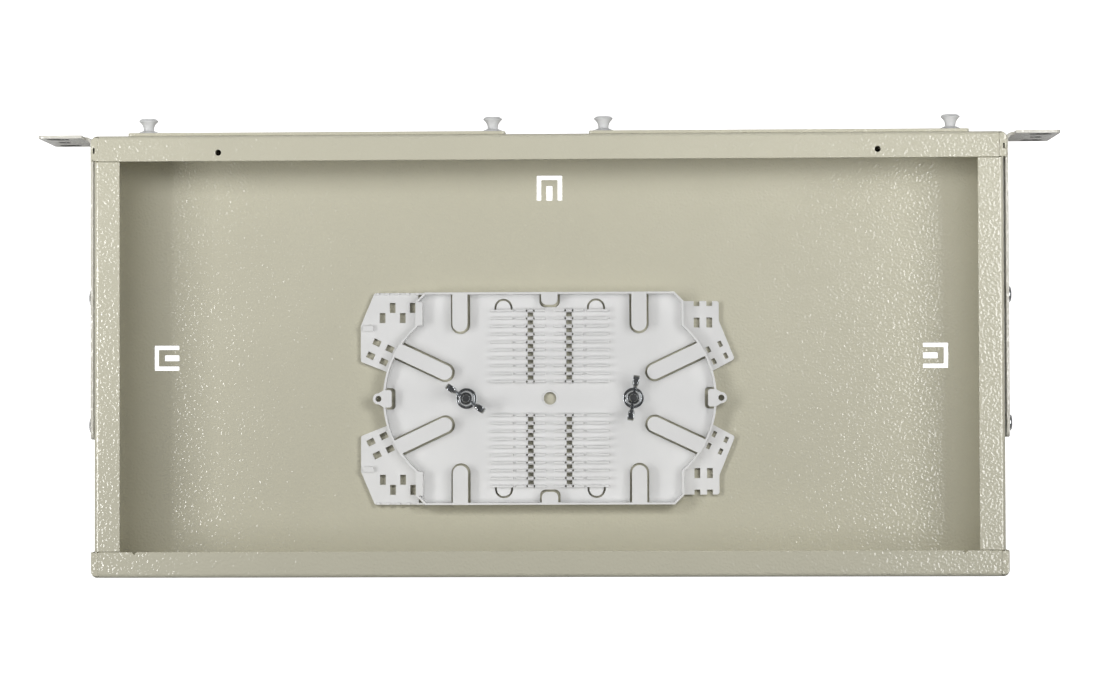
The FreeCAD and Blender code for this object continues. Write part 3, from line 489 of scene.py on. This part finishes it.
def closed_copy(name):
    """Copy of a CAD node with its split vertices joined, so that it encloses its solid."""
    copy = linked(name + "_copy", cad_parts[name].data.copy())
    shell = bmesh.new()
    shell.from_mesh(copy.data)
    bmesh.ops.remove_doubles(shell, verts=shell.verts, dist=MERGE_DISTANCE)
    shell.to_mesh(copy.data)
    shell.free()
    return copy


def joined_sheet(name, panels):
    """One piece from the panels of a folded sheet, without the faces where they meet."""
    copies = [closed_copy(panel) for panel in panels]
    whole = copies[0]
    for copy in copies[1:]:
        join = whole.modifiers.new("Join panels", "BOOLEAN")
        join.operation = "UNION"
        join.solver = "EXACT"
        join.object = copy
    graph = bpy.context.evaluated_depsgraph_get()
    mesh = bpy.data.meshes.new_from_object(whole.evaluated_get(graph))
    for copy in copies:
        bpy.data.objects.remove(copy)
    return linked(name, mesh)


def reshaping(piece, name):
    """Modifier that moves points of a piece; returns its empty node tree and the points' places."""
    tree = bpy.data.node_groups.new(piece.name + "_shape", "GeometryNodeTree")
    for way in ("INPUT", "OUTPUT"):
        tree.interface.new_socket("Geometry", in_out=way, socket_type="NodeSocketGeometry")
    piece.modifiers.new(name, "NODES").node_group = tree
    return tree, node(tree, "GeometryNodeInputPosition").outputs[0]


def move_points(tree, **moves):
    """Ends a reshaping with the points' new places or with their offsets."""
    given = node(tree, "NodeGroupInput").outputs[0]
    moved = node(tree, "GeometryNodeSetPosition", {"Geometry": given, **moves})
    tree.links.new(moved.outputs[0], node(tree, "NodeGroupOutput").inputs[0])


def shorten_inside(piece, reach):
    """Ends a piece at a distance from the middle of the box, on the left as on the right."""
    tree, point = reshaping(piece, "Shorter end")
    parts = node(tree, "ShaderNodeSeparateXYZ", {0: point}).outputs
    kept = maths(tree, "MAXIMUM", maths(tree, "ABSOLUTE", parts["X"]), reach)
    across = maths(tree, "MULTIPLY", kept, maths(tree, "SIGN", parts["X"]))
    ended = node(tree, "ShaderNodeCombineXYZ", {"X": across, "Y": parts["Y"], "Z": parts["Z"]}).outputs[0]
    move_points(tree, Position=ended)


def full_wings(piece, swell):
    """Thickens the wings of a nut sideways, from nothing at the hub to the swell on each face."""
    low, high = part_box(piece.name)
    tree, point = reshaping(piece, "Full wings")
    level = (1.0, 1.0, 0.0)
    normal = node(tree, "GeometryNodeInputNormal").outputs[0]
    arm = vector_maths(tree, "SUBTRACT", point, tuple((low + high) / 2))
    reach = vector_length(tree, vector_maths(tree, "MULTIPLY", arm, level))
    share = node(tree, "ShaderNodeMapRange", {"Value": reach, "From Min": WING_HUB,
                                              "From Max": WING_FULL * WING_HUB, "To Min": 0.0, "To Max": swell})
    sideways = vector_maths(tree, "MULTIPLY", normal, level)
    offset = node(tree, "ShaderNodeVectorMath", {0: sideways, "Scale": share.outputs[0]}, operation="SCALE")
    move_points(tree, Offset=offset.outputs[0])


def blend_casting(piece, settings):
    """Fills out the wings of a nut and blends its edges and corners as in a casting."""
    join_faces(piece)
    remesh = piece.modifiers.new("Even skin", "REMESH")
    remesh.mode = "VOXEL"
    remesh.voxel_size = settings.casting_voxel
    remesh.use_smooth_shade = True
    full_wings(piece, settings.wing_swell)
    soft = piece.modifiers.new("Soft edges", "SMOOTH")
    soft.factor = 0.5
    soft.iterations = settings.casting_smooth


def turned_mesh(name, middle, rings):
    """Mesh of stacked rings about a vertical axis: each ring is its height and a function of the angle."""
    points = []
    for height, radius in rings:
        for step in range(TURNED_SEGMENTS):
            angle = 2 * math.pi * step / TURNED_SEGMENTS
            reach = radius(angle)
            points.append((middle[0] + reach * math.cos(angle), middle[1] + reach * math.sin(angle), height))
    faces = []
    for ring in range(len(rings) - 1):
        low = ring * TURNED_SEGMENTS
        high = low + TURNED_SEGMENTS
        for step in range(TURNED_SEGMENTS):
            following = (step + 1) % TURNED_SEGMENTS
            faces.append((low + step, low + following, high + following, high + step))
    last = (len(rings) - 1) * TURNED_SEGMENTS
    faces.append(tuple(reversed(range(TURNED_SEGMENTS))))
    faces.append(tuple(range(last, last + TURNED_SEGMENTS)))
    mesh = bpy.data.meshes.new(name)
    mesh.from_pydata(points, [], faces)
    mesh.polygons.foreach_set("use_smooth", [len(face) == 4 for face in faces])
    mesh.update()
    return linked(name, mesh)


def thread_share(height, angle, pitch):
    """Share of a thread's depth at a height and an angle: 0 in the root and 1 on the crest, both cut a little flat."""
    phase = (height / pitch - angle / (2 * math.pi)) % 1.0
    return min(1.0, max(0.0, FLANK_SLOPE * abs(2 * phase - 1) - FLANK_CUT))


def even_ring(radius):
    """Ring of one radius all round."""
    return lambda angle: radius


def threaded_stud(name, low, high, settings):
    """Weld stud with a collar, a helical thread and a chamfered tip, in the box of the plain stud."""
    collar = (high.x - low.x) / 2
    collar_top = low.z + STUD_COLLAR_HEIGHT
    root = STUD_CREST - settings.thread_depth

    def thread_ring(height):
        limit = high.z - height + STUD_CREST - STUD_CHAMFER
        rise = height - collar_top
        return lambda angle: min(limit, root + (STUD_CREST - root) * thread_share(rise, angle, settings.thread_pitch))

    rings = [(low.z, even_ring(collar)), (collar_top, even_ring(collar)), (collar_top, even_ring(STUD_CREST))]
    steps = round((high.z - collar_top) / settings.thread_pitch * STUD_RINGS_PER_TURN)
    for step in range(1, steps + 1):
        height = collar_top + (high.z - collar_top) * step / steps
        rings.append((height, thread_ring(height)))
    return turned_mesh(name, (low + high) / 2, rings)


def threaded_insert(name, middle, settings):
    """Hexagonal insert with a blind threaded bore that ends in a cone, under a hole of a lid screw."""
    pitch = settings.insert_pitch

    def hexagon(angle):
        return INSERT_HALF_FLAT / math.cos((angle + math.pi / 6) % (math.pi / 3) - math.pi / 6)

    def thread_ring(sunk):
        return lambda angle: INSERT_BORE - INSERT_THREAD * pitch * thread_share(-sunk, angle, pitch)

    rings = [(RIM_UNDERSIDE - INSERT_HEIGHT, hexagon), (RIM_UNDERSIDE, hexagon),
             (RIM_UNDERSIDE, even_ring(INSERT_BORE))]
    steps = round(INSERT_BORE_DEPTH / pitch * INSERT_RINGS_PER_TURN)
    for step in range(1, steps + 1):
        sunk = INSERT_BORE_DEPTH * step / steps
        rings.append((RIM_UNDERSIDE - sunk, thread_ring(sunk)))
    rings.append((RIM_UNDERSIDE - INSERT_BORE_DEPTH - INSERT_BORE / 2, even_ring(INSERT_BORE / 20)))
    return turned_mesh(name, middle, rings)


# Operators, one for each piece or group of like pieces


class FIBREBOX_OT_box_body(bpy.types.Operator):
    """Enamel the folded box and round its sheet edges"""

    bl_idname = "fibrebox.box_body"
    bl_label = "Folded box"

    def execute(self, context):
        settings = context.scene.fibrebox_enamel
        box = joined_sheet("folded_box", SHEET_PANELS)
        dress(box, enamel("pebble_grey_enamel", settings.box_colour, settings))
        round_edges(box, settings.edge)
        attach(box, "box")
        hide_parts(*SHEET_PANELS)
        return {"FINISHED"}


class FIBREBOX_OT_adapter_plates(bpy.types.Operator):
    """Enamel the adapter plates as the box"""

    bl_idname = "fibrebox.adapter_plates"
    bl_label = "Adapter plates"

    def execute(self, context):
        settings = context.scene.fibrebox_enamel
        finish = bpy.data.materials["pebble_grey_enamel"]
        dress_rounded(nodes_named("adapter_plate"), finish, settings.edge)
        return {"FINISHED"}


class FIBREBOX_OT_rack_ears(bpy.types.Operator):
    """Enamel the rack ears and round their edges"""

    bl_idname = "fibrebox.rack_ears"
    bl_label = "Rack ears"

    def execute(self, context):
        settings = context.scene.fibrebox_enamel
        # The ear enamel paints shade on the walls of the punched holes.
        finish = enamel("ear_enamel", settings.ear_colour, settings, EAR_HOLES)
        dress_rounded(nodes_named("rack_ear"), finish, settings.edge)
        return {"FINISHED"}


class FIBREBOX_OT_ear_fasteners(bpy.types.Operator):
    """Plate the ear screws and the rivet nuts, which end out of sight under the side rims"""

    bl_idname = "fibrebox.ear_fasteners"
    bl_label = "Ear screws and rivet nuts"

    def execute(self, context):
        settings = context.scene.fibrebox_steel
        finish = plated_steel("zinc_fasteners", settings.zinc_colour, settings,
                              grain_size=0.0006, grain_depth=0.000006)
        for nuts in nodes_named("rivet_nuts"):
            shorten_inside(nuts, settings.rivet_end)
        dress_rounded(nodes_named("ear_screws", "rivet_nuts"), finish, settings.edge)
        return {"FINISHED"}


class FIBREBOX_OT_lid_inserts(bpy.types.Operator):
    """Set threaded inserts under the holes for the lid's screws"""

    bl_idname = "fibrebox.lid_inserts"
    bl_label = "Lid inserts"

    def execute(self, context):
        settings = context.scene.fibrebox_steel
        finish = plated_steel("dark_steel", settings.insert_colour, settings,
                              grain_size=0.0004, grain_depth=0.000006)
        for side, middle in LID_HOLES.items():
            insert = threaded_insert(side + "_lid_insert", middle, settings)
            dress(insert, finish)
            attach(insert, "box")
        return {"FINISHED"}


class FIBREBOX_OT_latches(bpy.types.Operator):
    """Mould the latch grommets and plungers in nylon"""

    bl_idname = "fibrebox.latches"
    bl_label = "Latches"

    def execute(self, context):
        settings = context.scene.fibrebox_mouldings
        finish = natural_nylon(settings)
        for latch in LATCHES:
            pieces = nodes_named(latch + "_latch_grommet", latch + "_latch_plunger")
            dress_rounded(pieces, finish, settings.nylon_edge)
        return {"FINISHED"}


class FIBREBOX_OT_cable_grommets(bpy.types.Operator):
    """Give the cable grommets their rubber"""

    bl_idname = "fibrebox.cable_grommets"
    bl_label = "Cable grommets"

    def execute(self, context):
        finish = black_rubber(context.scene.fibrebox_mouldings)
        for ring in nodes_named("cable_grommet"):
            dress(ring, finish)
        return {"FINISHED"}


class FIBREBOX_OT_splice_tray(bpy.types.Operator):
    """Mould the splice tray in white plastic with rounded edges"""

    bl_idname = "fibrebox.splice_tray"
    bl_label = "Splice tray"

    def execute(self, context):
        settings = context.scene.fibrebox_mouldings
        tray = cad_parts["splice_tray"]
        dress(tray, tray_plastic(settings))
        round_edges(tray, settings.tray_edge, whole_faces=False)
        return {"FINISHED"}


class FIBREBOX_OT_tray_studs(bpy.types.Operator):
    """Cut the thread of the studs that hold the tray"""

    bl_idname = "fibrebox.tray_studs"
    bl_label = "Tray studs"

    def execute(self, context):
        settings = context.scene.fibrebox_steel
        finish = bpy.data.materials["zinc_fasteners"]
        for side in SIDES:
            plain = side + "_tray_stud"
            stud = threaded_stud(side + "_threaded_stud", *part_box(plain), settings)
            dress(stud, finish)
            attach(stud, "box")
            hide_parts(plain)
        return {"FINISHED"}


class FIBREBOX_OT_washers(bpy.types.Operator):
    """Plate the flat washers and the spring washers"""

    bl_idname = "fibrebox.washers"
    bl_label = "Washers"

    def execute(self, context):
        settings = context.scene.fibrebox_steel
        finish = bpy.data.materials["zinc_fasteners"]
        dress_rounded(nodes_named("flat_washer", "spring_washer"), finish, settings.edge)
        return {"FINISHED"}


class FIBREBOX_OT_wing_nuts(bpy.types.Operator):
    """Cast the wing nuts, with their webs blended into the hub"""

    bl_idname = "fibrebox.wing_nuts"
    bl_label = "Wing nuts"

    def execute(self, context):
        settings = context.scene.fibrebox_steel
        finish = plated_steel("zinc_casting", settings.zinc_colour, settings,
                              grain_size=0.0012, grain_depth=0.00003)
        for nut in nodes_named("wing_nut"):
            dress(nut, finish)
            blend_casting(nut, settings)
        return {"FINISHED"}


# Studio


def white_floor(settings):
    """Wide white floor that looks lit from below to the camera, as a light table does."""
    half = FLOOR_HALF
    mesh = bpy.data.meshes.new("floor")
    mesh.from_pydata([(-half, -half, 0), (half, -half, 0), (half, half, 0), (-half, half, 0)], [], [(0, 1, 2, 3)])
    floor = linked("floor", mesh)
    floor.location.z = -FLOOR_DROP
    material, tree, shader = finish_tree("white_floor")
    seen = node(tree, "ShaderNodeLightPath").outputs["Is Camera Ray"]
    put(tree, shader, {"Base Color": (0.6, 0.6, 0.6, 1.0), "Roughness": 0.9, "Emission Color": WHITE,
                       "Emission Strength": maths(tree, "MULTIPLY", seen, settings.floor_glow)})
    dress(floor, material)


def soft_lamp(name, settings, mirrored):
    """Level panel lamp that faces down, by the settings of its name; mirrored says if glossy faces show it."""
    data = bpy.data.lights.new(name + "_lamp", "AREA")
    data.shape = "RECTANGLE"
    data.size, data.size_y = getattr(settings, name + "_size")
    data.energy = getattr(settings, name + "_power")
    lamp = linked(name + "_lamp", data)
    lamp.location = getattr(settings, name + "_place")
    lamp.visible_camera = False
    lamp.visible_glossy = mirrored
    return lamp


def aim_light(lamp, piece, state):
    """Lights only a piece, or all but that piece, with a lamp."""
    lit = bpy.data.collections.new(lamp.name + "_pieces")
    lit.objects.link(piece)
    lit.collection_objects[0].light_linking.link_state = state
    lamp.light_linking.receiver_collection = lit


def room_light(settings):
    """Weak room light that fades from the horizon to a dark ceiling, with more of it in glossy faces."""
    world = bpy.data.worlds.new("room")
    world.use_nodes = True
    tree = world.node_tree
    direction = node(tree, "ShaderNodeTexCoord").outputs["Generated"]
    height = node(tree, "ShaderNodeSeparateXYZ", {"Vector": direction}).outputs["Z"]
    faded = node(tree, "ShaderNodeMapRange", {"Value": height, "From Max": SKY_TOP, "To Min": settings.sky_low,
                                              "To Max": settings.sky_high}, interpolation_type="SMOOTHSTEP")
    glossy = node(tree, "ShaderNodeLightPath").outputs["Is Glossy Ray"]
    sides = node(tree, "ShaderNodeMapRange", {"Value": height, "From Min": CEILING_START, "From Max": SIDES_START,
                                              "To Min": CEILING_MIRRORED, "To Max": settings.sky_mirrored},
                 interpolation_type="SMOOTHSTEP")
    strength = maths(tree, "MULTIPLY_ADD", glossy, sides.outputs[0], faded.outputs[0])
    put(tree, tree.nodes["Background"], {"Color": WHITE, "Strength": strength})
    bpy.context.scene.world = world


def look_down(settings):
    """Camera above the box, with the front of the box at the top of the picture."""
    data = bpy.data.cameras.new("camera")
    data.sensor_width = SENSOR_WIDTH
    data.lens = SENSOR_WIDTH * PHOTO_FOCAL_PIXELS / PHOTO_WIDTH
    camera = linked("camera", data)
    camera.location = settings.camera_place
    camera.rotation_euler = settings.camera_turn
    bpy.context.scene.camera = camera


class FIBREBOX_OT_stage(bpy.types.Operator):
    """Set the floor, the lamps and the camera"""

    bl_idname = "fibrebox.stage"
    bl_label = "Studio"

    def execute(self, context):
        settings = context.scene.fibrebox_stage
        white_floor(settings)
        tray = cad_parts["splice_tray"]
        for side in SIDES:
            soft_lamp(side, settings, mirrored=True)
            aim_light(soft_lamp("front_" + side, settings, mirrored=False), tray, "EXCLUDE")
        aim_light(soft_lamp("tray", settings, mirrored=False), tray, "INCLUDE")
        room_light(settings)
        look_down(settings)
        context.scene.view_settings.view_transform = "Standard"
        return {"FINISHED"}


OPERATORS = (
    FIBREBOX_OT_box_body, FIBREBOX_OT_adapter_plates, FIBREBOX_OT_rack_ears, FIBREBOX_OT_ear_fasteners,
    FIBREBOX_OT_lid_inserts, FIBREBOX_OT_latches, FIBREBOX_OT_cable_grommets, FIBREBOX_OT_splice_tray,
    FIBREBOX_OT_tray_studs, FIBREBOX_OT_washers, FIBREBOX_OT_wing_nuts, FIBREBOX_OT_stage,
)
SETTINGS = {
    "fibrebox_enamel": FIBREBOX_PG_enamel,
    "fibrebox_mouldings": FIBREBOX_PG_mouldings,
    "fibrebox_steel": FIBREBOX_PG_steel,
    "fibrebox_stage": FIBREBOX_PG_stage,
}


class FIBREBOX_PT_looks(bpy.types.Panel):
    """Settings and steps of the box's looks"""

    bl_idname = "FIBREBOX_PT_looks"
    bl_label = "Fibre Box"
    bl_space_type = "VIEW_3D"
    bl_region_type = "UI"
    bl_category = "Fibre Box"

    def draw(self, context):
        for name in SETTINGS:
            box = self.layout.box()
            settings = getattr(context.scene, name)
            for label in settings.__annotations__:
                box.prop(settings, label)
        for operator in OPERATORS:
            self.layout.operator(operator.bl_idname)


def register():
    """Registers the settings, the operators and the panel."""
    for name, group in SETTINGS.items():
        bpy.utils.register_class(group)
        setattr(bpy.types.Scene, name, PointerProperty(type=group))
    for operator in OPERATORS:
        bpy.utils.register_class(operator)
    bpy.utils.register_class(FIBREBOX_PT_looks)


def unregister():
    """Takes back what register does."""
    bpy.utils.unregister_class(FIBREBOX_PT_looks)
    for operator in reversed(OPERATORS):
        bpy.utils.unregister_class(operator)
    for name, group in SETTINGS.items():
        delattr(bpy.types.Scene, name)
        bpy.utils.unregister_class(group)


def main():
    """Dresses the whole box."""
    register()
    for operator in OPERATORS:
        module, step = operator.bl_idname.split(".")
        getattr(getattr(bpy.ops, module), step)()


if __name__ == "__main__":
    main()
